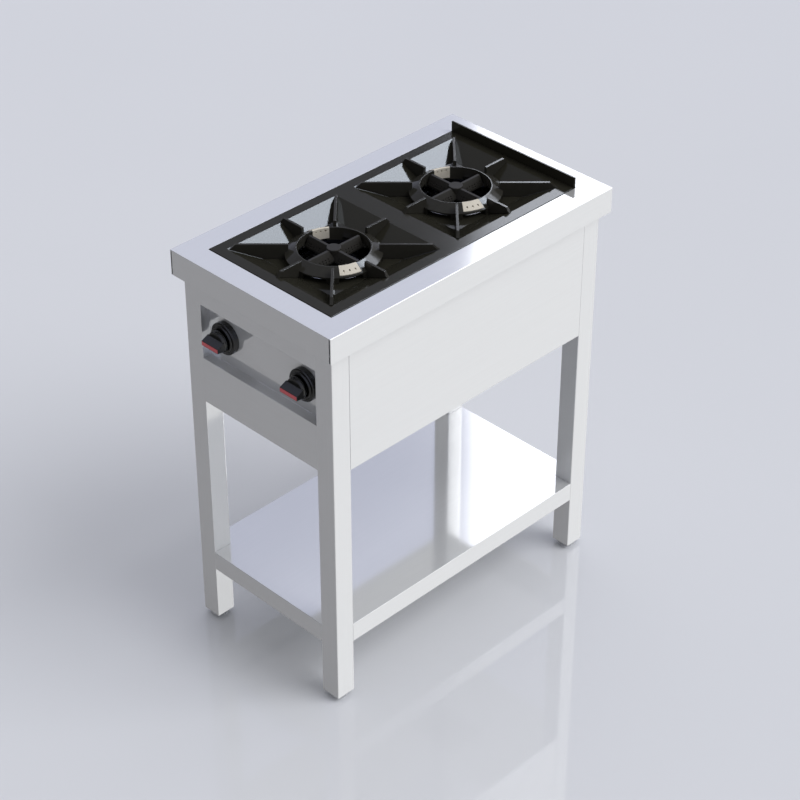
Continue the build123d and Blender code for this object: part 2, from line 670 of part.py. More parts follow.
def injector_holder(inlet_side):
    """Elbow in front of the mouth: its spigot carries the shutter, the feed tube enters at a side."""
    spigot_end = -TUBE_REACH + BELL_WALL
    half = HOLDER_SIDE / 2
    body_back = SHOULDER_Y - HOLDER_SHOULDER
    holder = level(0, TUBE_Z, body_back, spigot_end, SPIGOT_R)
    holder += level(0, TUBE_Z, body_back, SHOULDER_Y, HOLDER_SHOULDER_R)
    holder += block(-half, half, body_back - HOLDER_LENGTH, body_back, TUBE_Z - half, TUBE_Z + half)
    holder -= level(0, TUBE_Z, HOLDER_Y, spigot_end, FEED_BORE_R)
    return holder - across(HOLDER_Y, TUBE_Z, 0, inlet_side * half, FEED_BORE_R)


def injectors():
    """One jet per burner, seated in the end of its holder's spigot."""
    profile = [(JET_BORE_R, 0), (JET_R, 0), (JET_R, -JET_LENGTH / 2), (JET_TIP_R, -JET_LENGTH),
               (JET_BORE_R, -JET_LENGTH)]
    spigot_end = -TUBE_REACH + BELL_WALL
    return Compound([turned_forward(profile, 0, y + spigot_end, TUBE_Z) for y in BURNERS.values()])


def spill_tray():
    hole = NECK_R + TRAY_HOLE_GAP
    top = TRAY_Z + TRAY_HEIGHT
    inner = TRAY_R - TRAY_SHEET
    return turned([(hole, TRAY_Z), (TRAY_R, TRAY_Z), (TRAY_R, top), (inner, top),
                   (inner, TRAY_Z + TRAY_SHEET), (hole, TRAY_Z + TRAY_SHEET)])


def burner_rail():
    reach = FRAME_X - PANEL_SHEET
    half = RAIL_WIDTH / 2
    base = RAIL_TOP_Z - RAIL_HEIGHT
    rail = block(-reach, reach, -half, half, base, RAIL_TOP_Z)
    hollow = half - RAIL_SHEET
    inner = reach - RAIL_SHEET
    rail -= block(-inner, inner, -hollow, hollow, base, RAIL_TOP_Z - RAIL_SHEET)
    for x in (-BURNER_SCREW_SPACING / 2, BURNER_SCREW_SPACING / 2):
        rail -= upright(x, 0, RAIL_TOP_Z - RAIL_SHEET, RAIL_TOP_Z, SCREW_R + SCREW_HOLE_GAP)
    return rail


def burner_screws():
    screws = []
    seat = RAIL_TOP_Z + EAR_THICK
    for y in BURNERS.values():
        for x in (-BURNER_SCREW_SPACING / 2, BURNER_SCREW_SPACING / 2):
            screw = upright(x, y, seat, seat + SCREW_HEAD, SCREW_HEAD_R)
            screw += upright(x, y, seat - SCREW_LENGTH, seat, SCREW_R)
            screws.append(screw)
    return Compound(screws)


# ---------------------------------------------------------------- gas train

def gas_valve(x):
    face = RECESS_Y + PANEL_SHEET
    front = face + VALVE_NOSE
    back = front + VALVE_LENGTH
    half = SADDLE_LENGTH / 2
    outer = PIPE_R + CLAMP_WALL
    valve = level(x, KNOB_Z, face, front, VALVE_NOSE_R)
    valve += level(x, KNOB_Z, front, back, VALVE_R)
    valve += block(x - half, x + half, PIPE_Y - half, PIPE_Y + half, PIPE_Z + PIPE_R, KNOB_Z)
    valve += upright(x, PIPE_Y, KNOB_Z, KNOB_Z + OUTLET_RISE, OUTLET_R)
    valve += clamp_half(x, PIPE_Z, PIPE_Z + outer, PIPE_Z, PIPE_Z + CLAMP_WALL)
    end = RECESS_Y + SPINDLE_BACK + PUSH_TRAVEL + PUSH_ROOM
    valve -= level(x, KNOB_Z, face, end, SPINDLE_R + RUNNING_GAP)
    pin_end = RECESS_Y + PIN_BACK + PUSH_TRAVEL + PUSH_ROOM
    valve -= level(x, KNOB_Z, face, pin_end, PIN_R + PIN_CLEARANCE)
    return valve - upright(x, PIPE_Y, PIPE_Z, KNOB_Z + OUTLET_RISE, FEED_BORE_R)


def clamp_half(x, z0, z1, ear_z0, ear_z1):
    """Half a pipe clamp: the part of a collar between two heights, with two drilled ears."""
    half = SADDLE_LENGTH / 2
    outer = PIPE_R + CLAMP_WALL
    ears = outer + CLAMP_EAR
    collar = across(PIPE_Y, PIPE_Z, x - half, x + half, outer)
    collar &= block(x - half, x + half, PIPE_Y - outer, PIPE_Y + outer, z0, z1)
    collar += block(x - half, x + half, PIPE_Y - ears, PIPE_Y + ears, ear_z0, ear_z1)
    collar -= across(PIPE_Y, PIPE_Z, x - half, x + half, PIPE_R)
    for side in (-1, 1):
        collar -= upright(x, PIPE_Y + side * (outer + CLAMP_EAR / 2), ear_z0, ear_z1, CLAMP_SCREW_R)
    return collar


def valve_clamps():
    outer = PIPE_R + CLAMP_WALL
    return Compound([clamp_half(x, PIPE_Z - outer, PIPE_Z, PIPE_Z - CLAMP_WALL, PIPE_Z)
                     for x in KNOBS.values()])


def valve_clamp_screws():
    screws = []
    seat = PIPE_Z - CLAMP_WALL
    offset = PIPE_R + CLAMP_WALL + CLAMP_EAR / 2
    for x in KNOBS.values():
        for y in (PIPE_Y - offset, PIPE_Y + offset):
            screw = upright(x, y, seat - CLAMP_SCREW_HEAD, seat, CLAMP_SCREW_HEAD_R)
            screw += upright(x, y, seat, PIPE_Z + CLAMP_WALL, CLAMP_SCREW_R)
            screws.append(screw)
    return Compound(screws)


def gas_manifold():
    reach = FRAME_Y + INLET_REACH
    end = KNOB_SPACING / 2 + PIPE_END
    pipe = across(PIPE_Y, PIPE_Z, -end, end, PIPE_R)
    pipe += level(INLET_X, PIPE_Z, PIPE_Y, FRAME_Y, PIPE_R)
    pipe += level(INLET_X, PIPE_Z, FRAME_Y, reach, INLET_THREAD_R)
    cap = PIPE_R - PIPE_BORE_R
    pipe -= across(PIPE_Y, PIPE_Z, cap - end, end - cap, PIPE_BORE_R)
    for x in KNOBS.values():
        pipe -= upright(x, PIPE_Y, PIPE_Z, PIPE_Z + PIPE_R, FEED_BORE_R)
    return pipe - level(INLET_X, PIPE_Z, PIPE_Y, reach, PIPE_BORE_R)


def inlet_locknut():
    back = FRAME_Y - PANEL_SHEET
    hexagon = Plane.XZ * RegularPolygon(LOCKNUT_FLATS / 2, 6, major_radius=False)
    nut = Pos(INLET_X, back, PIPE_Z) * extrude(hexagon, amount=LOCKNUT_THICK)
    return nut - level(INLET_X, PIPE_Z, back - LOCKNUT_THICK, back, PIPE_R)


def manifold_bracket(x):
    half = BRACKET_WIDTH / 2
    panel_back = RECESS_Y + PANEL_SHEET
    outer = PIPE_R + CLAMP_WALL
    bracket = across(PIPE_Y, PIPE_Z, x - half, x + half, outer)
    bracket += block(x - half, x + half, panel_back, PIPE_Y, PIPE_Z - CLAMP_WALL, PIPE_Z + CLAMP_WALL)
    bracket += block(x - half, x + half, panel_back, panel_back + CLAMP_WALL,
                     PIPE_Z - BRACKET_FOOT / 2, PIPE_Z + BRACKET_FOOT / 2)
    return bracket - across(PIPE_Y, PIPE_Z, x - half, x + half, PIPE_R)


def feed_tube(knob_x, burner_y):
    """Up from the valve's outlet, slantwise to the burner, then straight into the injector holder."""
    side = math.copysign(1, knob_x)
    inlet_x = side * HOLDER_SIDE / 2
    inlet_y = burner_y + HOLDER_Y
    path = FilletPolyline((knob_x, PIPE_Y, KNOB_Z + OUTLET_RISE), (knob_x, PIPE_Y, TUBE_Z),
                          (inlet_x + side * FEED_LEAD, inlet_y, TUBE_Z), (inlet_x, inlet_y, TUBE_Z),
                          radius=FEED_BEND_R)
    start = Plane(origin=path @ 0, z_dir=path % 0)
    outer = sweep(start * Circle(FEED_R), path=path)
    return outer - sweep(start * Circle(FEED_BORE_R), path=path)


def spindle_tip(x):
    """The flatted end of the spindle that the knob fits over."""
    front = RECESS_Y - SPINDLE_FRONT
    back = front + SPINDLE_FLAT_LENGTH
    tip = level(x, KNOB_Z, front, back, SPINDLE_R)
    return tip - block(x - SPINDLE_R, x + SPINDLE_R, front, back,
                       KNOB_Z + SPINDLE_R - SPINDLE_FLAT, KNOB_Z + SPINDLE_R)


def spindle(x):
    back = RECESS_Y + SPINDLE_BACK
    shaft = level(x, KNOB_Z, RECESS_Y - SPINDLE_FRONT + SPINDLE_FLAT_LENGTH, back, SPINDLE_R)
    shaft += spindle_tip(x)
    pin_room = RECESS_Y - PIN_FRONT - PIN_END_GAP
    return shaft - level(x, KNOB_Z, pin_room, back, PIN_R + PIN_CLEARANCE)


def push_pin(x):
    return level(x, KNOB_Z, RECESS_Y - PIN_FRONT, RECESS_Y + PIN_BACK, PIN_R)


# ---------------------------------------------------------------- bezels and knobs

def bezel(x):
    return turned_forward([(BEZEL_HOLE_R, 0), (BEZEL_R, 0), (BEZEL_R, BEZEL_EDGE),
                           (BEZEL_R - BEZEL_CHAMFER, BEZEL_STEP), (BEZEL_STEP_R, BEZEL_STEP),
                           (BEZEL_STEP_R, BEZEL_STEP + BEZEL_STEP_EDGE), (BEZEL_FRONT_R, BEZEL_DEPTH),
                           (BEZEL_HOLE_R, BEZEL_DEPTH)], x, RECESS_Y, KNOB_Z)


def knob(x):
    back = KNOB_FACE_Y + KNOB_BODY
    body = turned_forward([(0, 0), (KNOB_R, 0), (KNOB_R, KNOB_EDGE), (KNOB_FRONT_R, KNOB_BODY),
                           (0, KNOB_BODY)], x, back, KNOB_Z)
    root = KNOB_FACE_Y + OVERLAP
    side = outline([(root, KNOB_Z - GRIP_BACK / 2), (KNOB_FACE_Y, KNOB_Z - GRIP_BACK / 2),
                    (GRIP_Y, GRIP_Z - GRIP_FRONT / 2), (GRIP_Y, GRIP_Z + GRIP_FRONT / 2),
                    (KNOB_FACE_Y, KNOB_Z + GRIP_BACK / 2), (root, KNOB_Z + GRIP_BACK / 2)])
    body += Pos(x, 0, 0) * extrude(Plane.YZ * side, amount=GRIP_LENGTH / 2, both=True)
    body -= spindle_tip(x)
    return body - knob_pointer(x)


def knob_pointer(x):
    half = POINTER_LENGTH / 2
    return block(x - half, x + half, GRIP_Y - POINTER_PROUD, GRIP_Y + POINTER_SUNK,
                 GRIP_Z - POINTER_HEIGHT / 2, GRIP_Z + POINTER_HEIGHT / 2)


# ---------------------------------------------------------------- build

os.makedirs("parts", exist_ok=True)

save("worktop", worktop())
save("front_panel", front_panel())
save("rear_panel", rear_panel())
save("casing_base", casing_base())
save("bottom_shelf", bottom_shelf())
save("shelf_stiffener", shelf_stiffener())
bushes = []
for side_name, sx in SIDES.items():
    save(f"{side_name}_side_panel", side_panel(sx))
    for end_name, sy in ENDS.items():
        corner = f"{end_name}_{side_name}"
        save(f"{corner}_leg", leg(sx, sy))
        bushes.append(foot_bush(sx, sy))
        save(f"{corner}_foot_pad", foot_pad(sx, sy))
        save(f"{corner}_foot_screw", foot_screw(sx, sy))
save("foot_bushes", Compound(bushes))

save("hob_plate", hob_plate())
save("rear_upstand", rear_upstand())
for name, y in BURNERS.items():
    place = Pos(0, y, 0)
    save(f"{name}_pan_support", place * pan_support())
    save(f"{name}_port_inserts", place * port_inserts())
    save(f"{name}_burner_cross", place * burner_cross())
    save(f"{name}_mixing_tube", place * mixing_tube())
    save(f"{name}_air_shutter", place * air_shutter())
    save(f"{name}_injector_holder", place * injector_holder(-1 if name == "front" else 1))
    save(f"{name}_spill_tray", place * spill_tray())
    save(f"{name}_burner_rail", place * burner_rail())
save("injectors", injectors())
save("burner_screws", burner_screws())

for name, x in KNOBS.items():
    save(f"{name}_gas_valve", gas_valve(x))
    save(f"{name}_valve_spindle", spindle(x))
    save(f"{name}_push_pin", push_pin(x))
    save(f"{name}_bezel", bezel(x))
    save(f"{name}_knob", knob(x))
    save(f"{name}_knob_pointer", knob_pointer(x))
save("valve_clamps", valve_clamps())
save("valve_clamp_screws", valve_clamp_screws())
save("gas_manifold", gas_manifold())
save("inlet_locknut", inlet_locknut())
save("manifold_brackets", Compound([manifold_bracket(x) for x in BRACKET_X]))
save("front_feed_tube", feed_tube(KNOBS["left"], BURNERS["front"]))
save("rear_feed_tube", feed_tube(KNOBS["right"], BURNERS["rear"]))
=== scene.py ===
import bpy
import bmesh
import json
import math
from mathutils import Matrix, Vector


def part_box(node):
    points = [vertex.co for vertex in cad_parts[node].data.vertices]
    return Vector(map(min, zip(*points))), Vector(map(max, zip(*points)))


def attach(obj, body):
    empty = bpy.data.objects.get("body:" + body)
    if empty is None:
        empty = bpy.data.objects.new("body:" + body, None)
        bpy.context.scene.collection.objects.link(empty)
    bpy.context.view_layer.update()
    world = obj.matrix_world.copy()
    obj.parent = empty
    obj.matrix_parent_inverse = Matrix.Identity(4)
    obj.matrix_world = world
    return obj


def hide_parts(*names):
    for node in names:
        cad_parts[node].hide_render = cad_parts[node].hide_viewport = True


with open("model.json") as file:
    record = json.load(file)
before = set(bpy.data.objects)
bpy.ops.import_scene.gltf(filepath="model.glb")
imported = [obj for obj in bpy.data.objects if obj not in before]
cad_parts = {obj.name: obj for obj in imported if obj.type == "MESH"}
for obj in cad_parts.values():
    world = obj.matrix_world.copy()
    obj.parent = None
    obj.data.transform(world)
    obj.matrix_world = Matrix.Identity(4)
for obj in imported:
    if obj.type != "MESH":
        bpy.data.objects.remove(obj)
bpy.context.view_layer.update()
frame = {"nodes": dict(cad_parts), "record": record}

MM = 0.001
MERGE = 0.002 * MM        # corners of a CAD mesh this close are one
FLAT = math.radians(0.6)  # triangles of one flat face differ by less
FOLD = math.radians(15)   # sharper edges can be rounded
CREASE = math.radians(20) # sharper edges stay creased when a piece is shaded smooth
SAME = 0.3                # mm: two places this close are one
PARALLEL = 0.99           # least share of its length by which an edge runs along an axis
SHARE, FIRST, SECOND = 0, 6, 7   # the inputs of a node that mixes two colours
MIXED = 2                        # and its output


# ---------------------------------------------------------------- materials

def linear(code):
    """An sRGB hex colour as the linear colour that a shader takes."""
    channels = [int(code[i:i + 2], 16) / 255 for i in (1, 3, 5)]
    curved = [c / 12.92 if c <= 0.04045 else ((c + 0.055) / 1.055) ** 2.4 for c in channels]
    return (*curved, 1.0)


def add(tree, kind, values=None, links=None, **settings):
    """Add a node with its own settings, its inputs' values and the sockets that feed them."""
    made = tree.nodes.new(kind)
    for name, value in settings.items():
        setattr(made, name, value)
    for name, value in (values or {}).items():
        made.inputs[name].default_value = value
    for name, socket in (links or {}).items():
        tree.links.new(socket, made.inputs[name])
    return made


def pattern(tree, size_mm, stretch):
    """A noise whose lumps are size_mm wide, times the stretch along each axis."""
    place = add(tree, "ShaderNodeTexCoord")
    scale = [1 / s for s in stretch]
    drawn_out = add(tree, "ShaderNodeMapping", {"Scale": scale}, {"Vector": place.outputs["Object"]})
    return add(tree, "ShaderNodeTexNoise", {"Scale": 1 / (size_mm * MM), "Detail": 2.0},
               {"Vector": drawn_out.outputs["Vector"]})


def finish(name, colours, roughness, relief, mottle_mm=30, cloud_mm=60, stretch=(1, 1, 1), edge_mm=0.5,
           **shader):
    """A material: two close colours in soft patches, a roughness that drifts, and reliefs of
    (width mm, depth mm) laid over each other and over edges that catch the light as if rounded
    by edge_mm. Everything else is set on the shader itself."""
    made = bpy.data.materials.new(name)
    made.use_nodes = True
    tree = made.node_tree
    tree.nodes.clear()
    mottle = pattern(tree, mottle_mm, stretch)
    colour = add(tree, "ShaderNodeMix", {FIRST: linear(colours[0]), SECOND: linear(colours[1])},
                 {SHARE: mottle.outputs["Fac"]}, data_type="RGBA")
    cloud = pattern(tree, cloud_mm, stretch)
    rough = add(tree, "ShaderNodeMapRange", {"To Min": roughness[0], "To Max": roughness[1]},
                {"Value": cloud.outputs["Fac"]})
    soft = add(tree, "ShaderNodeBevel", {"Radius": edge_mm * MM}, samples=6)
    links = {"Base Color": colour.outputs[MIXED], "Roughness": rough.outputs["Result"],
             "Normal": soft.outputs["Normal"]}
    for width, depth in relief:
        height = pattern(tree, width, stretch)
        bump = add(tree, "ShaderNodeBump", {"Strength": 1.0, "Distance": depth * MM},
                   {"Height": height.outputs["Fac"], "Normal": links["Normal"]})
        links["Normal"] = bump.outputs["Normal"]
    values = {"Metallic": 0.0}
    values.update({key.replace("_", " ").title().replace("Ior", "IOR"): v for key, v in shader.items()})
    body = add(tree, "ShaderNodeBsdfPrincipled", values, links)
    add(tree, "ShaderNodeOutputMaterial", links={"Surface": body.outputs["BSDF"]})
    return made


# Stainless sheet, bright annealed and finely brushed: a clear but slightly soft mirror. The real
# brush lines are 0.1 to 0.3 mm apart, too fine to show, so they are drawn 1.6 mm apart and shallow.
STEEL = {}
for axis, run in {"x": (60, 1, 1), "y": (1, 60, 1), "z": (1, 1, 60)}.items():
    STEEL[axis] = finish(f"brushed_stainless_sheet_{axis}", ("#e1e2e3", "#e6e7e8"), (0.065, 0.09),
                         [(1.6, 0.0008)], mottle_mm=3, cloud_mm=4, stretch=run, edge_mm=0.6, metallic=0.6)

# Bright drawn stainless: the spill trays, polished and a little wavy from the press.
TRAY_STEEL = finish("bright_drawn_stainless", ("#c4c5cd", "#cdced4"), (0.12, 0.22), [(25, 0.04)],
                    metallic=1.0)

# Vitreous enamel on pressed steel: black glass with a faint orange peel 6 mm wide, over a sheet
# that isn't quite flat.
ENAMEL = finish("black_vitreous_enamel", ("#272620", "#2b2a24"), (0.09, 0.12),
                [(6, 0.003), (70, 0.03)], mottle_mm=40, edge_mm=0.3, ior=1.21)

# Cast iron dipped in enamel: glossy over the sand-cast surface, whose grains show as soft lumps.
DIPPED_IRON = finish("enamelled_cast_iron", ("#2a2925", "#31302c"), (0.10, 0.16),
                     [(7, 0.02), (1.8, 0.004)], mottle_mm=9, cloud_mm=14, edge_mm=0.5, ior=1.23)

# Bare sand-cast iron blackened by heat: dull and grainy.
BURNER_IRON = finish("heat_blackened_cast_iron", ("#1f1e1b", "#2a2825"), (0.34, 0.5),
                     [(2.2, 0.04), (0.9, 0.015)], mottle_mm=6, cloud_mm=9, edge_mm=0.8, ior=1.3)

# Pressed and fired steatite: matt off-white, in faint patches 2.5 mm wide.
CERAMIC = finish("fired_steatite", ("#c9c3b4", "#d8d2c6"), (0.5, 0.68), [(1.2, 0.012)],
                 mottle_mm=2.5, cloud_mm=8, ior=1.58)

# Compression-moulded phenolic: deep black with the mould's polish.
PHENOLIC = finish("moulded_black_phenolic", ("#060706", "#0b0c0b"), (0.12, 0.2), [(9, 0.02)],
                  mottle_mm=12, cloud_mm=12, edge_mm=0.8, ior=1.5)

# Red acrylic strip let into the grip: glossy, its red not quite even.
RED_STRIP = finish("moulded_red_acrylic", ("#c04e54", "#cc5b61"), (0.16, 0.26), [(8, 0.01)],
                   mottle_mm=8, cloud_mm=8, edge_mm=0.8, ior=1.49)

# Zinc-plated and passivated steel: pale bluish grey, in faint patches 3 mm wide.
ZINC = finish("zinc_plated_steel", ("#9fa3a8", "#b4b7ba"), (0.3, 0.46), [(3, 0.006)],
              mottle_mm=3, cloud_mm=10, metallic=1.0)

# Turned brass, bare: warm yellow with a fine grain.
BRASS = finish("turned_brass", ("#b8924a", "#cfa75c"), (0.24, 0.36), [(1.2, 0.006)],
               mottle_mm=6, cloud_mm=6, metallic=1.0)

# Drawn aluminium tube: soft silver, dulled in patches.
ALUMINIUM = finish("drawn_aluminium_tube", ("#c3c5c7", "#d0d1d2"), (0.26, 0.38), [(2, 0.004)],
                   mottle_mm=8, cloud_mm=8, metallic=1.0)

# Injection-moulded nylon: light grey, with a low satin sheen.
NYLON = finish("moulded_grey_nylon", ("#b4b7bb", "#bfc1c4"), (0.38, 0.5), [(1.5, 0.008)],
               mottle_mm=5, cloud_mm=8, ior=1.53)


# ---------------------------------------------------------------- modelling

def only(piece):
    """Select this piece alone and make it the one being worked on."""
    bpy.ops.object.select_all(action="DESELECT")
    piece.select_set(True)
    bpy.context.view_layer.objects.active = piece


def merged_copy(node):
    """A piece with a CAD node's shape, its corners merged and its flat faces made whole."""
    piece = bpy.data.objects.new(f"{node}_finished", frame["nodes"][node].data.copy())
    bpy.context.scene.collection.objects.link(piece)
    only(piece)
    bpy.ops.object.mode_set(mode="EDIT")
    bpy.ops.mesh.select_all(action="SELECT")
    bpy.ops.mesh.remove_doubles(threshold=MERGE)
    bpy.ops.mesh.dissolve_limited(angle_limit=FLAT)
    bpy.ops.object.mode_set(mode="OBJECT")
    return piece


def round_edges(piece, radius_mm, segments, wanted):
    """Round the sharp edges whose (middle, direction, fold) the wanted test accepts. A fold is
    above zero on an outside corner and below zero in a hollow."""
    only(piece)
    bpy.ops.object.mode_set(mode="EDIT")
    bpy.ops.mesh.select_mode(type="EDGE")
    bpy.ops.mesh.select_all(action="DESELECT")
    shape = bmesh.from_edit_mesh(piece.data)
    found = False
    for edge in shape.edges:
        fold = edge.calc_face_angle_signed(0.0)
        if abs(fold) < FOLD:
            continue
        start, end = (v.co for v in edge.verts)
        if wanted((start + end) / 2 / MM, (end - start).normalized(), fold):
            edge.select_set(True)
            found = True
    bmesh.update_edit_mesh(piece.data)
    if found:
        bpy.ops.mesh.bevel(offset=radius_mm * MM, segments=segments, profile=0.5, affect="EDGES",
                           clamp_overlap=True)
    bpy.ops.object.mode_set(mode="OBJECT")


def complete(piece, body, material, slot, *nodes):
    """Shade a finished piece, paint it, and put it on its body in place of the nodes."""
    only(piece)
    bpy.ops.object.shade_smooth_by_angle(angle=CREASE)
    weighted = piece.modifiers.new("flat_faces_first", "WEIGHTED_NORMAL")
    weighted.keep_sharp = True
    bpy.ops.object.modifier_apply(modifier=weighted.name)
    piece.data.materials.clear()
    piece.data.materials.append(material)
    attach(piece, body)
    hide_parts(*nodes)
    return piece


def repaint(node, material):
    """Give a CAD node its material, and leave its shape alone."""
    carried = frame["nodes"][node]
    for place in carried.material_slots:
        place.material = material
    if not carried.material_slots:
        carried.data.materials.append(material)


ENDS = ("front", "rear")
SIDES = ("left", "right")
CORNERS = [f"{end}_{side}" for end in ENDS for side in SIDES]
BODY = {node: body for body, nodes in frame["record"]["behaviour"]["bodies"].items() for node in nodes}


def soften(node, material, slot, *rounds):
    """Stand a piece in for a CAD node, with its edges rounded as (radius mm, segments, wanted)."""
    piece = merged_copy(node)
    for radius_mm, segments, wanted in rounds:
        round_edges(piece, radius_mm, segments, wanted)
    return complete(piece, BODY[node], material, slot, node)


def span(node):
    """The lowest and highest corner of a CAD node, in millimetres."""
    return [Vector(corner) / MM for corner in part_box(node)]


def near(value, place):
    """True if two sizes in millimetres are the same."""
    return abs(value - place) < SAME


def all_edges(middle, along, fold):
    """Every sharp edge."""
    return True


def upright_corners(middle, along, fold):
    """The outside corners that stand upright."""
    return abs(along.z) > PARALLEL and fold > 0


def rim(node, height):
    """A test for the edges round a node's outline, at one height."""
    high = span(node)[1]

    def wanted(middle, along, fold):
        at_side = near(abs(middle.x), high.x) or near(abs(middle.y), high.y)
        return near(middle.z, height) and at_side
    return wanted


# ---------------------------------------------------------------- folded sheet and legs

RECESS_MARGIN = 50        # mm: the recess stays this far from the panel's upper and lower edge
RECESS_BACK = 18          # mm: its back corners lie further than this behind the panel's face


def worktop():
    """Pressed top: its edge is folded down, so every outside edge is a small bend."""
    low, high = span("worktop")

    def corner_folds(middle, along, fold):
        at_corner = near(abs(middle.x), high.x) and near(abs(middle.y), high.y)
        return at_corner or rim("worktop", high.z)(middle, along, fold)
    soften("worktop", STEEL["y"], "stainless_steel", (1.3, 3, corner_folds),
           (0.9, 2, rim("worktop", low.z)))


def front_panel():
    """The front with its recess: the sheet is bent at each edge that runs across."""
    low, high = span("front_panel")
    below_worktop = high.z - 1

    def bends(middle, along, fold):
        on_face = near(middle.y, low.y) and middle.z < below_worktop
        return abs(along.x) > PARALLEL and fold > 0 and on_face

    def recess_corners(middle, along, fold):
        at_height = low.z + RECESS_MARGIN < middle.z < high.z - RECESS_MARGIN
        in_recess = at_height and middle.y > low.y + RECESS_BACK
        return abs(along.x) > PARALLEL and fold < 0 and in_recess
    soften("front_panel", STEEL["x"], "stainless_steel", (1.1, 3, bends), (0.8, 2, recess_corners))


def side_panel(node):
    """A side sheet: only its lower edge shows a bend."""
    low, high = span(node)
    outer = max(abs(low.x), abs(high.x))

    def lower_bend(middle, along, fold):
        return near(middle.z, low.z) and near(abs(middle.x), outer)
    soften(node, STEEL["y"], "stainless_steel", (1.1, 3, lower_bend))


def leg(corner):
    """Square tube with rounded corners. The front legs' corners beside the front and side panels
    are tight, so that the joints there stay closed."""
    low, high = span(f"{corner}_leg")
    inner, outer = sorted((abs(low.x), abs(high.x)))

    def at_panel(middle, along, fold):
        at_side = near(abs(middle.x), outer) and near(middle.y, high.y)
        at_front = near(abs(middle.x), inner) and near(middle.y, low.y)
        beside = corner.startswith("front") and (at_side or at_front)
        return beside and upright_corners(middle, along, fold)

    def open_corners(middle, along, fold):
        return upright_corners(middle, along, fold) and not at_panel(middle, along, fold)
    soften(f"{corner}_leg", STEEL["z"], "stainless_steel", (2.2, 3, open_corners), (0.4, 2, at_panel))


def shelf():
    """The shelf: its edge is folded down, so its outline shows two bends."""
    low, high = span("bottom_shelf")
    soften("bottom_shelf", STEEL["y"], "stainless_steel", (1.1, 3, rim("bottom_shelf", high.z)),
           (0.8, 2, rim("bottom_shelf", low.z)))


worktop()
front_panel()
shelf()
for side in SIDES:
    side_panel(f"{side}_side_panel")
for corner in CORNERS:
    leg(corner)
repaint("rear_panel", STEEL["x"])
repaint("shelf_stiffener", STEEL["y"])
repaint("casing_base", STEEL["y"])


# ---------------------------------------------------------------- hob plate and pan supports

WELLS = [sum(corner.y for corner in span(f"{end}_pan_support")) / 2 for end in ENDS]
WELL_HALF = 131           # mm: a well's mouth lies within this distance of its middle
WELL_DEEP = 18            # mm
FLOOR_R = 80              # mm from the burner's axis: the floor's outer edge lies outside this
THROAT_R = 75             # mm from the burner's axis: the throat's edge lies inside this
UPRIGHT = 0.9             # steeper edges of a pan support count as upright


def hob_plate():
    """Deep-drawn plate: the wells' walls flow into the flat above and the floor below."""
    top = span("hob_plate")[1].z

    def in_a_well(middle):
        return any(max(abs(middle.x), abs(middle.y - y)) < WELL_HALF for y in WELLS)

    def off_axis(middle):
        return min(math.hypot(middle.x, middle.y - y) for y in WELLS)

    def mouth(middle, along, fold):
        return in_a_well(middle) and fold > 0 and near(middle.z, top)

    def drawn(middle, along, fold):
        upper_skin = middle.z > top - WELL_DEEP - 0.5
        return in_a_well(middle) and fold < 0 and upper_skin and off_axis(middle) > FLOOR_R

    def throat(middle, along, fold):
        return near(middle.z, top - WELL_DEEP) and off_axis(middle) < THROAT_R
    return soften("hob_plate", ENAMEL, "black_enamel", (1.5, 4, drawn), (0.5, 3, mouth),
                  (1.2, 3, throat), (0.6, 2, rim("hob_plate", top)))


def pan_support(end):
    """Cast grid: the mould and the dip round all its outside edges but the upright ones."""
    def lying_edges(middle, along, fold):
        return fold > 0 and abs(along.z) < UPRIGHT
    return soften(f"{end}_pan_support", DIPPED_IRON, "enamelled_cast_iron", (0.6, 2, lying_edges))


glazed = [hob_plate(), soften("rear_upstand", ENAMEL, "black_enamel", (0.9, 2, all_edges))]
for end in ENDS:
    glazed.append(pan_support(end))
    repaint(f"{end}_port_inserts", CERAMIC)


# ---------------------------------------------------------------- knobs and feet

for side in SIDES:
    soften(f"{side}_bezel", PHENOLIC, "black_gloss_plastic", (0.7, 2, all_edges))
    soften(f"{side}_knob", PHENOLIC, "black_gloss_plastic", (0.4, 2, all_edges))
    soften(f"{side}_knob_pointer", RED_STRIP, "red_gloss_plastic", (0.35, 2, all_edges))
for corner in CORNERS:
    soften(f"{corner}_foot_pad", NYLON, "grey_nylon", (0.8, 2, all_edges))


# ---------------------------------------------------------------- burners and gas train

for end in ENDS:
    repaint(f"{end}_burner_cross", BURNER_IRON)
    repaint(f"{end}_mixing_tube", BURNER_IRON)
    repaint(f"{end}_spill_tray", TRAY_STEEL)
    repaint(f"{end}_burner_rail", ZINC)
    repaint(f"{end}_air_shutter", ZINC)
    repaint(f"{end}_injector_holder", BRASS)
    repaint(f"{end}_feed_tube", ALUMINIUM)
for side in SIDES:
    repaint(f"{side}_gas_valve", BRASS)
    repaint(f"{side}_valve_spindle", BRASS)
    repaint(f"{side}_push_pin", ZINC)
for corner in CORNERS:
    repaint(f"{corner}_foot_screw", ZINC)
repaint("foot_bushes", NYLON)
repaint("injectors", BRASS)
for node in ("burner_screws", "valve_clamps", "valve_clamp_screws", "gas_manifold", "inlet_locknut",
             "manifold_brackets"):
    repaint(node, ZINC)


# ---------------------------------------------------------------- floor, light and camera

FLOOR_SIDE = 60.0         # metres
BACKGROUND = "#d8dce4"

bpy.ops.object.select_all(action="DESELECT")
bpy.ops.mesh.primitive_plane_add(size=FLOOR_SIDE, location=(0, 0, 0))
floor = bpy.context.object
floor.name = "studio_floor"
floor.data.materials.append(finish("painted_studio_floor", ("#d7d9de", "#dadce1"), (0.03, 0.06), [],
                                   mottle_mm=900, ior=1.58))
floor.visible_glossy = False   # mirrors show the world's lower half instead


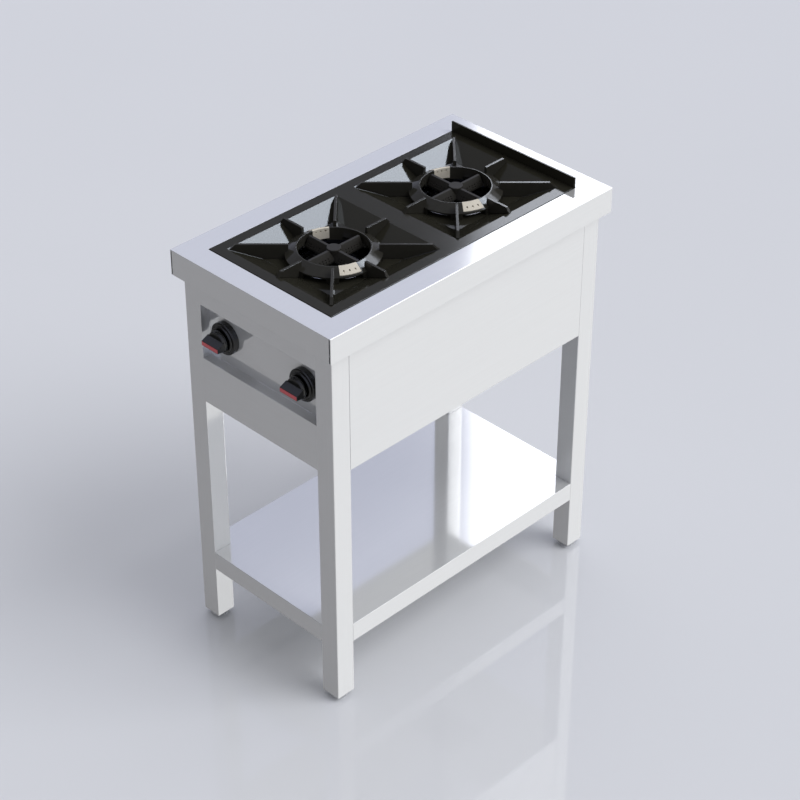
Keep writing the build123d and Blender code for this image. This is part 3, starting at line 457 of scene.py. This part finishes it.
def lamp(name, kind, strength, colour):
    """A light of this kind, hung in the scene."""
    data = bpy.data.lights.new(name, kind)
    data.energy = strength
    data.color = linear(colour)[:3]
    made = bpy.data.objects.new(name, data)
    bpy.context.scene.collection.objects.link(made)
    return made


def sun(name, towards, spread, strength, colour):
    """A wide, soft light from a direction. Mirrors don't show it."""
    made = lamp(name, "SUN", strength, colour)
    made.data.angle = math.radians(spread)
    made.rotation_euler = Vector(towards).to_track_quat("Z", "Y").to_euler()
    made.visible_glossy = False


def receivers(name, state, pieces):
    """The pieces that a light reaches, or the ones it leaves out."""
    made = bpy.data.collections.new(name)
    for place, piece in enumerate(pieces):
        made.objects.link(piece)
        made.collection_objects[place].light_linking.link_state = state
    return made


def light_wall(name, distance, left, right, low, high, radiance, colour, reached):
    """An upright panel of light far behind the object, in metres. Only the mirrors that it reaches
    show it."""
    wide = right - left
    tall = high - low
    made = lamp(name, "AREA", radiance * math.pi * wide * tall, colour)
    made.data.shape = "RECTANGLE"
    made.data.size = wide
    made.data.size_y = tall
    made.location = ((left + right) / 2, distance, (low + high) / 2)
    made.rotation_euler = (math.radians(90), 0, math.radians(180))
    made.visible_diffuse = False
    made.visible_camera = False
    made.light_linking.receiver_collection = reached


on_glaze = receivers("glazed_pieces", "INCLUDE", glazed)
off_glaze = receivers("floor_and_glazed_pieces", "EXCLUDE", [floor] + glazed)

sun("key_from_the_right", (0.66, 0.34, 0.80), spread=40, strength=1.58, colour="#ffffff")
sun("fill_from_behind", (-0.15, 0.5, 0.85), spread=90, strength=0.80, colour="#f7f8ff")

# The steel and the glaze each mirror a wall of their own, as tall as their reflections need it. The
# glaze's second wall stands in front of its first.
light_wall("wall_on_steel", distance=20.0, left=-18.3, right=18.8, low=14.6, high=34.0,
           radiance=1.7, colour="#ffffff", reached=off_glaze)
light_wall("wall_on_glaze", distance=20.0, left=-18.3, right=18.8, low=14.0, high=36.0,
           radiance=11.5, colour="#f0f5ff", reached=on_glaze)
light_wall("bright_middle", distance=19.0, left=-7.0, right=7.0, low=20.0, high=40.0,
           radiance=24.0, colour="#e6f1ff", reached=on_glaze)

# Radiances that mirrors show: the floor's two shades and the room's three.
FLOOR_IN_SHADE = (0.31, 0.305, 0.31)
FLOOR_IN_LIGHT = (1.05, 1.05, 1.05)
ROOM_DARK = (0.12, 0.12, 0.125)
ROOM_LAVENDER = (0.60, 0.63, 0.80)
ROOM_PALE = (0.92, 0.93, 0.97)
EVEN_LIGHT = 0.40         # what dull surfaces get from all round

world = bpy.data.worlds.new("studio")
bpy.context.scene.world = world
world.use_nodes = True
air = world.node_tree
air.nodes.clear()
way = add(air, "ShaderNodeTexCoord")
parts = add(air, "ShaderNodeSeparateXYZ", links={"Vector": way.outputs["Generated"]})
across = add(air, "ShaderNodeMath", links={0: parts.outputs["X"], 1: parts.outputs["Y"]}, operation="ADD")


def blend(from_min, from_max, share_of, first, second):
    """One radiance turning into another as a direction's number goes between two values. A radiance
    is three numbers, or the socket of an earlier blend."""
    share = add(air, "ShaderNodeMapRange", {"From Min": from_min, "From Max": from_max},
                {"Value": share_of}, interpolation_type="SMOOTHSTEP")
    ends = {FIRST: first, SECOND: second}
    fixed = {key: (*end, 1) for key, end in ends.items() if isinstance(end, tuple)}
    fed = {key: end for key, end in ends.items() if not isinstance(end, tuple)}
    fed[SHARE] = share.outputs["Result"]
    return add(air, "ShaderNodeMix", fixed, fed, data_type="RGBA").outputs[MIXED]


# A direction's X + Y is highest to the right and behind, and lowest to the left and front. Below,
# the floor: bright to the right and behind, darker to the left and front. Above, the room: pale to
# the right and behind, lavender elsewhere, and dark only where it is most to the left and front.
below = blend(-0.5, 0.5, across.outputs[0], FLOOR_IN_SHADE, FLOOR_IN_LIGHT)
above = blend(-1.13, -1.02, across.outputs[0], ROOM_DARK, ROOM_LAVENDER)
above = blend(0.3, 0.9, across.outputs[0], above, ROOM_PALE)
room = blend(-0.12, 0.1, parts.outputs["Z"], below, above)

# The camera sees an even background, mirrors see the room, and dull surfaces get an even light. A
# shader mix takes its share first and then its two shaders.
seen = add(air, "ShaderNodeBackground", {"Color": linear(BACKGROUND), "Strength": 1.0})
mirrored = add(air, "ShaderNodeBackground", {"Strength": 1.0}, {"Color": room})
plain = add(air, "ShaderNodeBackground", {"Color": linear("#f3f3f5"), "Strength": EVEN_LIGHT})
ray = add(air, "ShaderNodeLightPath")
clear = add(air, "ShaderNodeMath", links={0: ray.outputs["Is Glossy Ray"],
                                          1: ray.outputs["Is Transmission Ray"]}, operation="MAXIMUM")
lit = add(air, "ShaderNodeMixShader", links={0: clear.outputs[0], 1: plain.outputs[0],
                                             2: mirrored.outputs[0]})
shown = add(air, "ShaderNodeMixShader", links={0: ray.outputs["Is Camera Ray"], 1: lit.outputs[0],
                                               2: seen.outputs[0]})
add(air, "ShaderNodeOutputWorld", links={"Surface": shown.outputs[0]})

# The camera that was fitted to the outlines in the photograph.
CAMERA_PLACE = (2.4335, -2.4284, 2.8290)   # metres
CAMERA_DOWN = math.radians(35.029)
CAMERA_TURN = math.radians(44.946)
LENS_MM = 101.84
SENSOR_MM = 36.0

camera_data = bpy.data.cameras.new("photograph_camera")
camera_data.lens = LENS_MM
camera_data.sensor_width = SENSOR_MM
camera = bpy.data.objects.new("photograph_camera", camera_data)
bpy.context.scene.collection.objects.link(camera)
camera.location = CAMERA_PLACE
camera.rotation_euler = (math.radians(90) - CAMERA_DOWN, 0, CAMERA_TURN)
bpy.context.scene.camera = camera
bpy.context.scene.view_settings.view_transform = "Standard"
